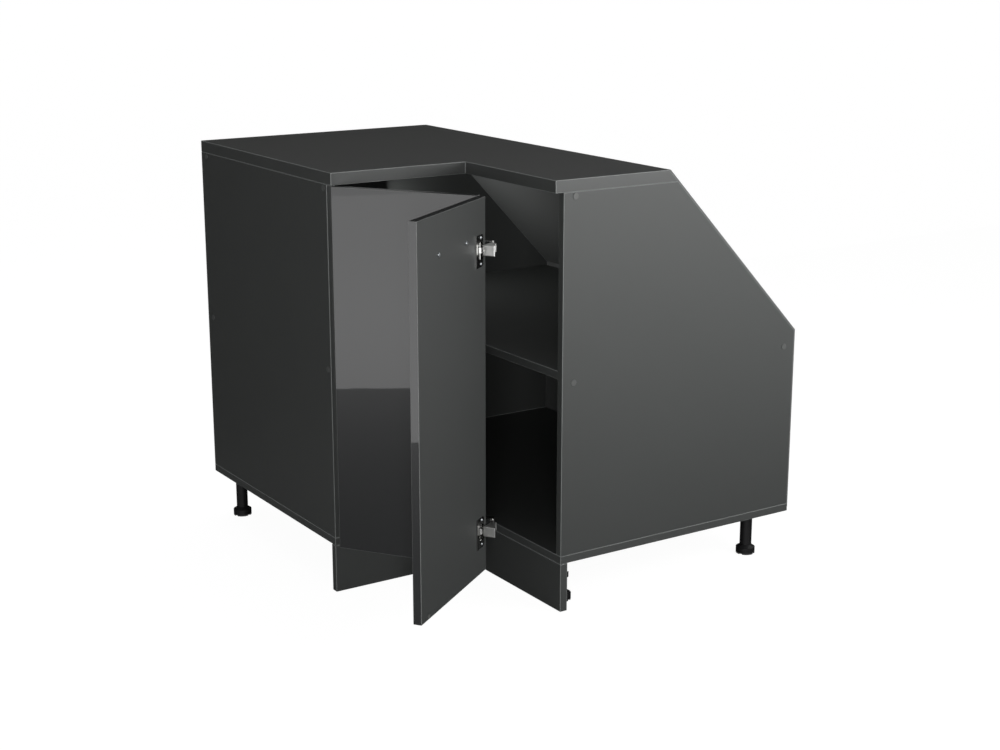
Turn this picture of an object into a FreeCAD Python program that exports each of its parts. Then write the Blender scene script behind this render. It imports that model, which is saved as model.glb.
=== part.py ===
"""Corner base cabinet for an L-shaped kitchen, its right end cut by the slope of a roof.

Millimetres, +Z up. The sizes are worked in the cabinet's own corner frame: X runs from the left side panel's
outer face, Y from the right side panel's outer face towards the straight wall, Z from the floor. The
finished pieces are then moved so that the origin lies under the middle of the whole cabinet, doors open.
"""

import FreeCAD, Part
import math
import os

V = FreeCAD.Vector
UP = V(0, 0, 1)
ALONG_X = V(1, 0, 0)
ALONG_Y = V(0, 1, 0)
TURN = 360
QUARTER_TURN = TURN / 4

# Carcass boards
board = 16.0
carcass_height = 720.0
leg_height = 100.0
worktop_thickness = 24.0
worktop_depth = 600.0
worktop_clearance = 2.0
backing = 3.0
backing_rebate = 8.0
backing_proud = 1.5
backing_inset = 1.0
wall_setback = 2.0
overrun = 5.0

# The slope at the right end
slope_angle = 46.5
knee_height = 491.0

# Door leaves
leaf_width = 296.0
leaf_thickness = 16.0
leaf_setback = 2.0
leaf_end_margin = 14.0
fold_gap = 0.5
door_open = 55.0

# Shelf and its studs
shelf_below_knee = 10.0
shelf_setback = 2.0
shelf_gap = 0.6
stud_radius = 6.0
stud_length = 12.0
stud_front_left = 12.0
stud_front_right = 26.0
stud_back = 27.0
stud_wall_left = 280.0
stud_wall_right = 700.0

# Fixing screws through the side panels, and their caps
screw_radius = 2.5
screw_head_radius = 4.5
screw_head_depth = 3.0
screw_bite = 9.0
screw_fit = 0.05
cap_radius = 6.0
cap_thickness = 1.2
cap_dome = 0.4

# Angle brackets under the worktop
bracket_leg = 16.0
bracket_width = 18.0
bracket_sheet = 2.0
bracket_screw_drop = 8.0
bracket_wall_x = 300.0
wood_screw_radius = 2.0
wood_screw_head_radius = 3.6
wood_screw_head_height = 1.6
wood_screw_length = 14.0

# Adjustable legs
leg_inset_front = 44.5
leg_inset_left = 44.5
leg_inset_wall = 41.0
leg_inset_right = 61.5
leg_inset_slope = 55.5
tube_radius = 12.5
tube_collar_radius = 17.0
tube_collar_height = 10.0
socket_half = 27.0
socket_corner = 8.0
socket_thickness = 4.0
socket_screw_offset = 19.0
socket_screw_length = 12.0
foot_radius = 20.0
foot_rim_height = 13.5
foot_cone_height = 6.0
foot_neck_radius = 11.0
foot_notches = 4
foot_turn = 21.0
foot_notch_width = 7.0
foot_notch_height = 8.0
foot_lift = 0.3
spindle_radius = 5.0
spindle_length = 46.0
spindle_fit = 0.06

# Plinths, their clips and corner bracket
plinth_thickness = 16.0
plinth_floor_gap = 2.0
plinth_top_gap = 0.5
clip_height = 53.0
clip_tall = 11.0
clip_wall = 2.5
clip_fit = 0.1
clip_mouth_share = 0.8
clip_plate_width = 34.0
clip_plate_height = 26.0
clip_plate_thickness = 3.0
clip_web = 6.0
clip_screw_offset = 13.0
corner_leg = 34.0
corner_tall = 60.0
corner_sheet = 2.0
corner_screw_drop = 15.0

# Handle of the right leaf
handle_pitch = 120.0
handle_from_top = 70.5
handle_reach = 30.0
handle_radius = 5.0
handle_bend = 12.0
handle_foot_radius = 7.0
handle_foot_thickness = 3.0
handle_screw_radius = 2.0
handle_screw_bite = 10.0
handle_screw_head_radius = 4.2
handle_screw_head_height = 2.2

# Concealed hinges: heights, cups and mounting plates, alike for both pairs
hinge_from_low_end = 82.5
hinge_from_high_end = 95.5
cup_radius = 17.4
cup_fit = 0.1
cup_wall = 1.0
cup_depth = 12.5
cup_floor = 0.8
cup_from_edge = 22.5
flange_near = 12.5
flange_far = 46.0
flange_bar = 6.5
flange_bar_rise = 1.0
flange_height = 60.0
flange_sheet = 1.2
flange_corner = 6.0
flange_screw_pitch = 48.0
flange_screw_bite = 11.0
plate_sheet = 2.0
plate_length = 40.0
plate_height = 52.0
plate_corner = 4.0
plate_screw_pitch = 32.0
plate_screw_bite = 10.0
ridge_half = 6.6
arm_half = 9.0
arm_sheet = 1.5
arm_rise = 15.5
arm_bend = 13.0
ridge_front = 9.0
arm_screw_back = 8.0
arm_nose = 5.0
arm_screw_radius = 3.2
arm_screw_height = 1.4

# Links of the hinges: pins, eyes and straps
pin_radius = 2.0
pin_fit = 0.05
open_pin_fit = 0.35
eye_radius = 4.0
cup_eye_radius = 3.6
inner_link_half = 7.2
outer_link_half = 5.0
link_sheet = 1.6
link_gap = 0.3
strap_thickness = 3.0

# Pivots of the hinge on the side panel, from the swing axis, leaf closed: X across the front, Y inwards
swing_cup_pin_x = 24.0
swing_cup_pin_y = 12.0
swing_arm_pin_x = 28.0
swing_arm_pin_y = 38.0
swing_plate_centre = 60.0

# Pivots of the hinge between the leaves, from the fold axis, leaves closed
fold_cup_pin_x = 13.0
fold_cup_pin_y = -20.0
fold_arm_pin_x = 14.0
fold_arm_pin_y = 36.0
fold_plate_centre = 45.0
hood_lead = 1.0
hood_lift = 2.0
hood_height = 25.5
hood_front = 4.0
hood_half = 9.8
hood_corner = 1.2
hood_panel_margin = 3.2
hood_panel_depth = 0.5
hood_rib_share = 0.55

# Door bumpers
bumper_radius = 4.0
bumper_seat_gap = 0.3
bumper_from_end = 30.0

# Wall plates, nails of the backs, screws of the base
wall_plate_width = 44.0
wall_plate_height = 22.0
wall_plate_drop = 60.0
wall_plate_spread = 250.0
wall_plate_screw_pitch = 30.0
wall_hole_radius = 3.5
nail_radius = 1.0
nail_head_radius = 2.4
nail_head_height = 0.8
nail_length = 14.0
nail_from_end = 40.0
nail_count = 4
base_screw_from_end = 60.0
base_screw_length = 40.0

# Places that follow from the sizes
notch_x = leaf_width + fold_gap
notch_y = leaf_end_margin + leaf_width + fold_gap
front_x = notch_x + leaf_thickness + leaf_setback
front_y = notch_y + leaf_thickness + leaf_setback
width = notch_x + worktop_depth
depth = notch_y + worktop_depth
base_top = leg_height + board
carcass_top = leg_height + carcass_height
top = carcass_top + worktop_thickness
panel_x = width - backing
base_x = width - backing_proud
wall_outer = depth - wall_setback
wall_inner = wall_outer - board
leaf_low = leg_height + worktop_clearance
leaf_high = carcass_top - worktop_clearance
handle_height = leaf_high - handle_from_top
shelf_height = knee_height - shelf_below_knee - board
slope_sine = math.sin(math.radians(slope_angle))
slope_tangent = math.tan(math.radians(slope_angle))
swing_axis = V(0, notch_y, 0)
fold_axis = V(notch_x, notch_y, 0)
swing_cup_pin = V(swing_cup_pin_x, swing_cup_pin_y, 0)
swing_arm_pin = V(swing_arm_pin_x, swing_arm_pin_y, 0)
fold_cup_pin = V(fold_cup_pin_x, fold_cup_pin_y, 0)
fold_arm_pin = V(fold_arm_pin_x, fold_arm_pin_y, 0)
hinge_heights = [leaf_low + hinge_from_low_end, leaf_high - hinge_from_high_end]

# Where the legs stand: name, X, Y
leg_left_x = leg_inset_left
leg_middle_x = front_x + leg_inset_front
leg_right_x = panel_x - leg_inset_slope
leg_near_y = leg_inset_right
leg_middle_y = front_y + leg_inset_front
leg_far_y = depth - leg_inset_wall
leg_places = {
    "left_front": V(leg_left_x, leg_middle_y, 0),
    "left_back": V(leg_left_x, leg_far_y, 0),
    "inner_corner": V(leg_middle_x, leg_middle_y, 0),
    "right_front": V(leg_middle_x, leg_near_y, 0),
    "right_back": V(leg_right_x, leg_near_y, 0),
    "rear_corner": V(leg_right_x, leg_far_y, 0),
}


def slope_x(z, inset=0.0):
    """X of the slope at a height, for a plane lying inset inside the outer surface."""
    return width - (z - knee_height) / slope_tangent - inset / slope_sine


def slope_z(x, inset=0.0):
    """Height of the same plane at a place along X."""
    return knee_height + (width - x - inset / slope_sine) * slope_tangent


def box(x0, x1, y0, y1, z0, z1):
    return Part.makeBox(x1 - x0, y1 - y0, z1 - z0, V(x0, y0, z0))


def plan_prism(points, z0, z1):
    """A flat outline in plan, raised from one height to another."""
    corners = [V(x, y, z0) for x, y in points]
    face = Part.Face(Part.makePolygon(corners + corners[:1]))
    return face.extrude(V(0, 0, z1 - z0))


def side_prism(points, y0, y1):
    """An outline of X and Z, extended along Y."""
    corners = [V(x, y0, z) for x, z in points]
    face = Part.Face(Part.makePolygon(corners + corners[:1]))
    return face.extrude(V(0, y1 - y0, 0))


def rod(start, direction, radius, length):
    """A round bar from a point along a direction."""
    return Part.makeCylinder(radius, length, start, direction)


def rounded_plate(half_y, half_z, corner, thickness):
    """A plate on the plane X = 0, thickness towards +X, with rounded corners."""
    plate = box(0, thickness, -half_y, half_y, -half_z, half_z)
    edges = [e for e in plate.Edges if abs(e.Vertexes[0].X - e.Vertexes[1].X) > thickness / 2]
    return plate.makeFillet(corner, edges)


def turned_about_up(shape, centre, degrees):
    copy = shape.copy()
    copy.rotate(centre, UP, degrees)
    return copy


def turned_vector(vector, degrees):
    angle = math.radians(degrees)
    x = vector.x * math.cos(angle) - vector.y * math.sin(angle)
    y = vector.x * math.sin(angle) + vector.y * math.cos(angle)
    return V(x, y, 0)


def moved(shape, offset):
    copy = shape.copy()
    copy.translate(offset)
    return copy


def fused(shapes):
    """One solid of pieces that overlap or share a face."""
    return shapes[0].fuse(shapes[1:]).removeSplitter()


def swung(shape):
    """From the closed doors to the doors as photographed."""
    return turned_about_up(shape, swing_axis, -door_open)


def corner_outline(near_x, near_y, left, low, right, high):
    """Plan of an L-shaped board: the notch corner, then its outer limits in X and Y."""
    return [(left, near_y), (near_x, near_y), (near_x, low), (right, low), (right, high), (left, high)]


# Places of the fixings that pass through the panels from outside
stud_z = shelf_height - stud_radius
bracket_z = carcass_top - bracket_screw_drop
stud_near_x = front_x + stud_front_right
stud_near_y = front_y + stud_front_left
stud_far_x = panel_x - stud_back
stud_far_y = depth - stud_back
left_fixings = [(y, z) for z in (stud_z, bracket_z) for y in (stud_near_y, stud_far_y)]
right_fixings = [(stud_near_x, stud_z), (stud_far_x, stud_z), (stud_near_x, bracket_z)]
wall_fixings = [(stud_wall_left, stud_z), (stud_wall_right, stud_z), (bracket_wall_x, bracket_z)]


def fixing_screw(seat, direction):
    """A flat-headed screw whose head lies flush in the outer face at seat, reaching through the board."""
    head = rod(seat, direction, screw_head_radius, screw_head_depth)
    shank = rod(seat, direction, screw_radius, board + screw_bite - bracket_sheet)
    return fused([head, shank])


def fixing_hole(seat, direction):
    """The stepped hole that such a screw lies in."""
    head = rod(seat, direction, screw_head_radius + screw_fit, screw_head_depth + screw_fit)
    shank = rod(seat, direction, screw_radius + screw_fit, board)
    return fused([head, shank])


def left_seats():
    return [V(0, y, z) for y, z in left_fixings]


def right_seats():
    return [V(x, 0, z) for x, z in right_fixings]


def wall_seats():
    return [V(x, wall_outer, z) for x, z in wall_fixings]


def worktop():
    """The L-shaped top, its right edge bevelled to carry the sloping back."""
    outline = corner_outline(notch_x, notch_y, 0, 0, slope_x(carcass_top, backing), depth)
    plate = plan_prism(outline, carcass_top, top)
    far = width + overrun
    waste = [(slope_x(top, backing), top), (far, top), (far, carcass_top)]
    waste.append((slope_x(carcass_top, backing), carcass_top))
    plate = plate.cut(side_prism(waste, -overrun, depth + overrun))
    return plate.cut([bracket_screw_hole(b) for b in bracket_places()])


def left_side_panel():
    panel = box(0, board, front_y, depth, base_top, carcass_top)
    holes = [fixing_hole(s, ALONG_X) for s in left_seats()]
    holes += [at_swing_plate(bore, z) for z in hinge_heights for bore in plate_bores()]
    holes += base_screw_holes()
    return panel.cut(holes)


def right_side_panel():
    """The board nearest the camera, cut along the slope and the knee."""
    corners = [(front_x, base_top), (panel_x, base_top), (panel_x, slope_z(panel_x, backing))]
    corners += [(slope_x(carcass_top, backing), carcass_top), (front_x, carcass_top)]
    panel = side_prism(corners, 0, board)
    holes = [fixing_hole(s, ALONG_Y) for s in right_seats()]
    holes += base_screw_holes() + nail_holes()
    return panel.cut(holes)


def wall_panel():
    """The board along the straight wall, between the left panel and the sloping back."""
    corners = [(board, base_top), (panel_x, base_top), (panel_x, slope_z(panel_x, backing))]
    corners += [(slope_x(carcass_top, backing), carcass_top), (board, carcass_top)]
    panel = side_prism(corners, wall_inner, wall_outer)
    holes = [fixing_hole(s, -ALONG_Y) for s in wall_seats()]
    holes += wall_panel_holes()
    holes += base_screw_holes() + nail_holes()
    return panel.cut(holes)


def base_panel():
    """The floor of the cabinet, under all side panels, with a rebate behind for the thin back."""
    outline = corner_outline(front_x, front_y, 0, 0, base_x, depth)
    plate = plan_prism(outline, leg_height, base_top)
    low = base_top - backing_rebate
    rebate = box(panel_x, base_x + overrun, -overrun, depth + overrun, low, base_top + overrun)
    return plate.cut([rebate] + base_screw_holes() + socket_screw_holes())


def sloped_back():
    """Thin board on the slope, from the worktop's upper face down to the knee."""
    inner_knee = (panel_x, slope_z(panel_x, backing))
    corners = [(width, knee_height), inner_knee, (slope_x(top, backing), top), (slope_x(top), top)]
    sheet = side_prism(corners, backing_inset, wall_outer)
    return sheet.cut(nail_holes())


def lower_back():
    """Thin upright board from the knee into the rebate of the base."""
    low = base_top - backing_rebate
    corners = [(panel_x, low), (width, low), (width, knee_height), (panel_x, slope_z(panel_x, backing))]
    sheet = side_prism(corners, backing_inset, wall_outer)
    return sheet.cut(nail_holes())


def shelf():
    """The L-shaped shelf, resting on the studs a little inside the front edges."""
    inner_x = front_x + shelf_setback
    inner_y = front_y + shelf_setback
    low = board + shelf_gap
    outline = corner_outline(inner_x, inner_y, low, low, panel_x - shelf_gap, wall_inner - shelf_gap)
    return plan_prism(outline, shelf_height, shelf_height + board)


def stud(seat, direction):
    """A round stud against a panel's inner face, bored for its screw."""
    sleeve = rod(seat, direction, stud_radius, stud_length)
    return sleeve.cut(rod(seat, direction, screw_radius + screw_fit, screw_bite))


def shelf_studs():
    studs = [stud(s + ALONG_X * board, ALONG_X) for s in left_seats()[:2]]
    studs += [stud(s + ALONG_Y * board, ALONG_Y) for s in right_seats()[:2]]
    studs += [stud(s - ALONG_Y * board, -ALONG_Y) for s in wall_seats()[:2]]
    return Part.makeCompound(studs)


def fixing_screws():
    screws = [fixing_screw(s, ALONG_X) for s in left_seats()]
    screws += [fixing_screw(s, ALONG_Y) for s in right_seats()]
    screws += [fixing_screw(s, -ALONG_Y) for s in wall_seats()]
    return Part.makeCompound(screws)


def cover_cap(seat, outward):
    """A shallow domed disc over a screw head, seated on the panel's outer face."""
    disc = rod(seat, outward, cap_radius, cap_thickness)
    rims = [e for e in disc.Edges if e.Closed and (e.CenterOfMass - seat).dot(outward) > cap_thickness / 2]
    return disc.makeFillet(cap_dome, rims)


def cover_caps_left():
    return Part.makeCompound([cover_cap(s, -ALONG_X) for s in left_seats()])


def cover_caps_right():
    return Part.makeCompound([cover_cap(s, -ALONG_Y) for s in right_seats()])


def bracket_places():
    """Where each angle bracket meets its panel: a point on the inner face, and the way into the cabinet."""
    places = [(V(board, y, bracket_z), ALONG_X) for y, z in left_fixings if z == bracket_z]
    places += [(V(x, board, bracket_z), ALONG_Y) for x, z in right_fixings if z == bracket_z]
    places += [(V(x, wall_inner, bracket_z), -ALONG_Y) for x, z in wall_fixings if z == bracket_z]
    return places


def standing(shape, seat, inward):
    """A piece modelled against the plane X = 0, facing +X, set against a panel at seat."""
    angle = math.degrees(math.atan2(inward.y, inward.x))
    return moved(turned_about_up(shape, V(0, 0, 0), angle), seat)


def worktop_bracket():
    """A folded steel angle, its screw hole at the origin on the upright leg."""
    high = bracket_screw_drop
    low = high - bracket_leg
    half = bracket_width / 2
    upright = box(0, bracket_sheet, -half, half, low, high)
    flat = box(0, bracket_leg, -half, half, high - bracket_sheet, high)
    holes = [rod(V(0, 0, 0), ALONG_X, screw_radius + screw_fit, bracket_leg)]
    holes += [rod(V((bracket_leg + bracket_sheet) / 2, 0, 0), UP, wood_screw_radius + screw_fit, high)]
    return fused([upright, flat]).cut(holes)


def worktop_brackets():
    return Part.makeCompound([standing(worktop_bracket(), seat, way) for seat, way in bracket_places()])


def wood_screw(seat, direction, length):
    """A small round-headed screw, head outside the seat, shank reaching along the direction."""
    head = Part.makeCone(
        wood_screw_head_radius / 2, wood_screw_head_radius, wood_screw_head_height,
        seat - direction * wood_screw_head_height, direction,
    )
    return fused([head, rod(seat, direction, wood_screw_radius, length)])


def bracket_screw_foot(place):
    seat, way = place
    rise = bracket_screw_drop - bracket_sheet
    return seat + way * ((bracket_leg + bracket_sheet) / 2) + UP * rise


def bracket_screw_hole(place):
    return rod(bracket_screw_foot(place), UP, wood_screw_radius + screw_fit, wood_screw_length)


def worktop_bracket_screws():
    feet = [bracket_screw_foot(place) for place in bracket_places()]
    return Part.makeCompound([wood_screw(f, UP, wood_screw_length - bracket_sheet) for f in feet])


def socket_screw_places():
    """Two screws across each leg's socket plate."""
    offsets = [V(sx, sy, 0) * socket_screw_offset for sx, sy in [(1, 1), (-1, -1)]]
    return [place + offset for place in leg_places.values() for offset in offsets]


def socket_screw_holes():
    seats = [p + UP * leg_height for p in socket_screw_places()]
    return [rod(s, UP, wood_screw_radius + screw_fit, socket_screw_length) for s in seats]


def socket_screws():
    seats = [p + UP * (leg_height - socket_thickness) for p in socket_screw_places()]
    return Part.makeCompound([wood_screw(s, UP, socket_screw_length) for s in seats])


def leg(place):
    """A tube with its square socket plate under the base, bored for the foot's spindle."""
    low = foot_rim_height + foot_cone_height + foot_lift
    plate_low = leg_height - socket_thickness
    plate = box(-socket_half, socket_half, -socket_half, socket_half, plate_low, leg_height)
    uprights = [e for e in plate.Edges if abs(e.Vertexes[0].Z - e.Vertexes[1].Z) > socket_thickness / 2]
    plate = plate.makeFillet(socket_corner, uprights)
    collar_foot = V(0, 0, plate_low - tube_collar_height)
    collar = Part.makeCone(tube_radius, tube_collar_radius, tube_collar_height, collar_foot)
    tube = rod(V(0, 0, low), UP, tube_radius, plate_low - low)
    body = fused([plate, collar, tube])
    bore = rod(V(0, 0, low), UP, spindle_radius + spindle_fit, spindle_length + foot_lift)
    screws = [rod(V(s, s, plate_low), UP, wood_screw_radius + screw_fit, socket_thickness)
              for s in (socket_screw_offset, -socket_screw_offset)]
    return moved(body.cut([bore] + screws), place)


def foot(place):
    """The screwed foot: a notched rim, a cone shoulder and the spindle that carries the leg."""
    rim = rod(V(0, 0, 0), UP, foot_radius, foot_rim_height)
    shoulder = Part.makeCone(foot_radius, foot_neck_radius, foot_cone_height, V(0, 0, foot_rim_height))
    neck = foot_rim_height + foot_cone_height
    spindle = rod(V(0, 0, neck), UP, spindle_radius, spindle_length)
    body = fused([rim, shoulder, spindle])
    half = foot_notch_width / 2
    reach = foot_radius - half
    corners = [V(reach, -half, 0), V(reach, half, 0), V(reach, 0, foot_notch_height)]
    notch = Part.Face(Part.makePolygon(corners + corners[:1])).extrude(V(foot_radius, 0, 0))
    turns = [foot_turn + TURN * i / foot_notches for i in range(foot_notches)]
    notches = [turned_about_up(notch, V(0, 0, 0), turn) for turn in turns]
    return moved(body.cut(notches), place)


def left_plinth():
    """The plinth board of the left wing, reaching behind the end of the other."""
    low = plinth_floor_gap
    high = leg_height - plinth_top_gap
    plinth = box(0, front_x + plinth_thickness, front_y, front_y + plinth_thickness, low, high)
    return plinth.cut([moved(clip_screw_hole(), s) for s in clip_seats("left_front")] + corner_screw_holes())


def right_plinth():
    low = plinth_floor_gap
    high = leg_height - plinth_top_gap
    plinth = box(front_x, front_x + plinth_thickness, 0, front_y, low, high)
    holes = [turned_about_up(clip_screw_hole(), V(0, 0, 0), -QUARTER_TURN)
             for s in clip_seats("right_front")]
    placed = [moved(hole, seat) for hole, seat in zip(holes, clip_seats("right_front"))]
    return plinth.cut(placed + corner_screw_holes())


def clip_screw_hole():
    """A hole into a plinth's back face, towards -Y."""
    return rod(V(0, 0, 0), -ALONG_Y, wood_screw_radius + screw_fit, socket_screw_length)


def clip_seats(name):
    """The two screw places of a clip's plate, on the back face of its plinth."""
    place = leg_places[name]
    if name == "left_front":
        centre = V(place.x, front_y + plinth_thickness, clip_height)
        return [centre + ALONG_X * clip_screw_offset, centre - ALONG_X * clip_screw_offset]
    centre = V(front_x + plinth_thickness, place.y, clip_height)
    return [centre + ALONG_Y * clip_screw_offset, centre - ALONG_Y * clip_screw_offset]


def plinth_clip(reach):
    """A clip round a leg at the origin, its plate against a plinth's back face at reach towards -Y."""
    inner = tube_radius + clip_fit
    half_tall = clip_tall / 2
    low = -half_tall
    ring = rod(V(0, 0, low), UP, inner + clip_wall, clip_tall)
    web = box(-clip_web / 2, clip_web / 2, -reach, 0, low, half_tall)
    half_plate = clip_plate_height / 2
    half_wide = clip_plate_width / 2
    plate = box(-half_wide, half_wide, -reach, clip_plate_thickness - reach, -half_plate, half_plate)
    mouth = inner * clip_mouth_share
    hollow = rod(V(0, 0, low), UP, inner, clip_tall)
    gap = box(-mouth, mouth, 0, inner + clip_wall, low, half_tall)
    holes = [rod(V(x, -reach, 0), ALONG_Y, wood_screw_radius + screw_fit, clip_plate_thickness)
             for x in (clip_screw_offset, -clip_screw_offset)]
    return fused([ring, web, plate]).cut([hollow, gap] + holes)


def plinth_clips():
    reach = leg_inset_front - plinth_thickness
    left = moved(plinth_clip(reach), leg_places["left_front"] + UP * clip_height)
    right = turned_about_up(plinth_clip(reach), V(0, 0, 0), -QUARTER_TURN)
    return Part.makeCompound([left, moved(right, leg_places["right_front"] + UP * clip_height)])


def corner_bracket():
    """A folded strip round the back of the plinths' corner."""
    mid = leg_height / 2
    low = mid - corner_tall / 2
    high = mid + corner_tall / 2
    x = front_x + plinth_thickness
    y = front_y + plinth_thickness
    along_right = box(x, x + corner_sheet, y - plinth_thickness - corner_leg, y + corner_sheet, low, high)
    along_left = box(x - corner_leg, x, y, y + corner_sheet, low, high)
    return fused([along_right, along_left]).cut(corner_screw_holes())


def corner_screw_seats():
    """Screws of the corner strip: outer face of each leaf of the strip, and the way in."""
    x = front_x + plinth_thickness + corner_sheet
    y = front_y + plinth_thickness + corner_sheet
    heights = [leg_height / 2 - corner_screw_drop, leg_height / 2 + corner_screw_drop]
    into_left = [(V(x - corner_sheet - corner_leg / 2, y, z), -ALONG_Y) for z in heights]
    into_right = [(V(x, front_y - corner_leg / 2, z), -ALONG_X) for z in heights]
    return into_left + into_right


def corner_screw_holes():
    return [rod(seat, way, wood_screw_radius + screw_fit, socket_screw_length + overrun)
            for seat, way in corner_screw_seats()]


def plinth_screws():
    screws = [wood_screw(seat, way, socket_screw_length) for seat, way in corner_screw_seats()]
    for name, way in (("left_front", ALONG_Y), ("right_front", ALONG_X)):
        seats = [s + way * clip_plate_thickness for s in clip_seats(name)]
        screws += [wood_screw(seat, -way, socket_screw_length) for seat in seats]
    return Part.makeCompound(screws)


def base_screw_seats():
    """Screws from under the base into the standing boards."""
    half = board / 2
    left = [V(half, y, leg_height) for y in (front_y + base_screw_from_end, depth - base_screw_from_end)]
    right = [V(x, half, leg_height) for x in (front_x + base_screw_from_end, panel_x - base_screw_from_end)]
    middle = wall_outer - half
    back = [V(x, middle, leg_height) for x in (front_x, panel_x - base_screw_from_end)]
    return left + right + back


def base_screw_holes():
    holes = []
    for seat in base_screw_seats():
        holes.append(rod(seat, UP, screw_radius + screw_fit, base_screw_length))
        holes.append(rod(seat, UP, screw_head_radius + screw_fit, screw_head_depth + screw_fit))
    return holes


def base_screws():
    screws = []
    for seat in base_screw_seats():
        head = rod(seat, UP, screw_head_radius, screw_head_depth)
        screws.append(fused([head, rod(seat, UP, screw_radius, base_screw_length)]))
    return Part.makeCompound(screws)


def wall_plate_places():
    """Small steel plates high on the wall panel, each round a hole for a screw into the wall."""
    middle = (board + slope_x(carcass_top - wall_plate_drop, backing)) / 2
    z = carcass_top - wall_plate_drop
    return [V(middle + side * wall_plate_spread / 2, wall_inner, z) for side in (-1, 1)]


def wall_plate_screw_seats():
    half = wall_plate_screw_pitch / 2
    return [p + ALONG_X * side * half for p in wall_plate_places() for side in (-1, 1)]


def wall_panel_holes():
    """Through holes for the wall screws, and the small holes of the plates' own screws."""
    holes = [rod(p, ALONG_Y, wall_hole_radius, board) for p in wall_plate_places()]
    fit = wood_screw_radius + screw_fit
    return holes + [rod(s, ALONG_Y, fit, plate_screw_bite) for s in wall_plate_screw_seats()]


def wall_plates():
    plates = []
    for place in wall_plate_places():
        plate = rounded_plate(wall_plate_width / 2, wall_plate_height / 2, plate_corner, plate_sheet)
        plate = moved(turned_about_up(plate, V(0, 0, 0), -QUARTER_TURN), place)
        plate = plate.cut(rod(place, -ALONG_Y, wall_hole_radius, plate_sheet))
        seats = [s for s in wall_plate_screw_seats() if (s - place).Length < wall_plate_width]
        holes = [rod(s, -ALONG_Y, wood_screw_radius + screw_fit, plate_sheet) for s in seats]
        plates.append(plate.cut(holes))
    return Part.makeCompound(plates)


def wall_plate_screws():
    seats = [s - ALONG_Y * plate_sheet for s in wall_plate_screw_seats()]
    return Part.makeCompound([wood_screw(s, ALONG_Y, plate_screw_bite) for s in seats])


def nail_places():
    """Heads and directions of the nails that hold both thin backs to the standing boards."""
    down = V(1 / slope_tangent, 0, -1)
    down.normalize()
    inward = V(-slope_sine, 0, -math.cos(math.radians(slope_angle)))
    start = V(slope_x(carcass_top), 0, carcass_top)
    run = (carcass_top - knee_height) / slope_sine
    places = []
    for y in (board / 2, wall_outer - board / 2):
        for i in range(nail_count):
            share = i / (nail_count - 1)
            along = nail_from_end + (run - nail_from_end * 2) * share
            places.append((start + down * along + ALONG_Y * y, inward))
            z = base_top + nail_from_end + (knee_height - base_top - nail_from_end * 2) * share
            places.append((V(width, y, z), -ALONG_X))
    return places


def nail_holes():
    places = nail_places()
    shanks = [rod(seat, way, nail_radius + screw_fit, nail_length) for seat, way in places]
    heads = [rod(seat, way, nail_head_radius + screw_fit, nail_head_height) for seat, way in places]
    return shanks + heads


def back_nails():
    nails = []
    for seat, way in nail_places():
        head = rod(seat, way, nail_head_radius, nail_head_height)
        shank = rod(seat, way, nail_radius, nail_length)
        nails.append(fused([head, shank]))
    return Part.makeCompound(nails)


def flat_bar(start, end, thickness, low, high):
    """A flat bar between two pivots in plan."""
    way = end - start
    bar = box(0, way.Length, -thickness / 2, thickness / 2, low, high)
    return moved(turned_about_up(bar, V(0, 0, 0), math.degrees(math.atan2(way.y, way.x))), start)


def pivot(place, radius, half):
    """A round pin or eye, standing upright and centred on the hinge's height."""
    return rod(place - UP * half, UP, radius, half * 2)


def inner_link(arm_pin, meeting):
    """Two straps side by side, an eye round the arm's pin and a pin of their own where the links meet."""
    low = inner_link_half - link_sheet
    pieces = [pivot(arm_pin, eye_radius, inner_link_half), pivot(meeting, pin_radius, inner_link_half)]
    for side in (-inner_link_half, low):
        pieces.append(flat_bar(arm_pin, meeting, strap_thickness, side, side + link_sheet))
        pieces.append(rod(meeting + UP * side, UP, eye_radius, link_sheet))
    return fused(pieces).cut(pivot(arm_pin, pin_radius + pin_fit, inner_link_half))


def outer_link(cup_pin, meeting):
    """One broad strap, an eye in the cup and an open eye round the pin of the inner link."""
    pieces = [pivot(cup_pin, cup_eye_radius, outer_link_half), pivot(meeting, eye_radius, outer_link_half)]
    pieces.append(flat_bar(cup_pin, meeting, strap_thickness, -outer_link_half, outer_link_half))
    holes = [pivot(cup_pin, pin_radius + pin_fit, outer_link_half)]
    holes.append(pivot(meeting, pin_radius + open_pin_fit, outer_link_half))
    return fused(pieces).cut(holes)


def hooded_link(cup_pin, meeting):
    """The outer link of the hinge between the leaves. Its strap carries a hood, square in front."""
    near = cup_pin.y + hood_lead
    far = meeting.y - eye_radius - link_gap
    low = fold_axis.x + leaf_thickness + hood_lift
    high = fold_axis.x + leaf_thickness + hood_height
    left = meeting.x - eye_radius
    right = meeting.x + eye_radius
    inner_high = high - arm_sheet
    inner_half = hood_half - arm_sheet
    outline = [(low, near), (high, near), (high, near + hood_front), (right, far), (left, far)]
    outer = plan_prism(outline, -hood_half, hood_half)
    front = [e for e in outer.Edges if e.BoundBox.YMax < near + screw_fit]
    hood = outer.makeFillet(hood_corner, front)
    inside = [(low - overrun, near + arm_sheet), (inner_high, near + arm_sheet)]
    inside += [(inner_high, near + hood_front)]
    inside += [(right - arm_sheet, far), (right - arm_sheet, far + overrun), (left - overrun, far + overrun)]
    panel = box(low + hood_panel_margin, high - hood_panel_margin, near, near + hood_panel_depth,
                hood_panel_margin - hood_half, hood_half - hood_panel_margin)
    hood = hood.cut([plan_prism(inside, -inner_half, inner_half), panel])
    rib_start = cup_pin + (meeting - cup_pin) * hood_rib_share
    rib = box(rib_start.x, high, rib_start.y, rib_start.y + strap_thickness, -hood_half, hood_half)
    return fused([outer_link(cup_pin, meeting), hood, rib.common(outer)])


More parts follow.
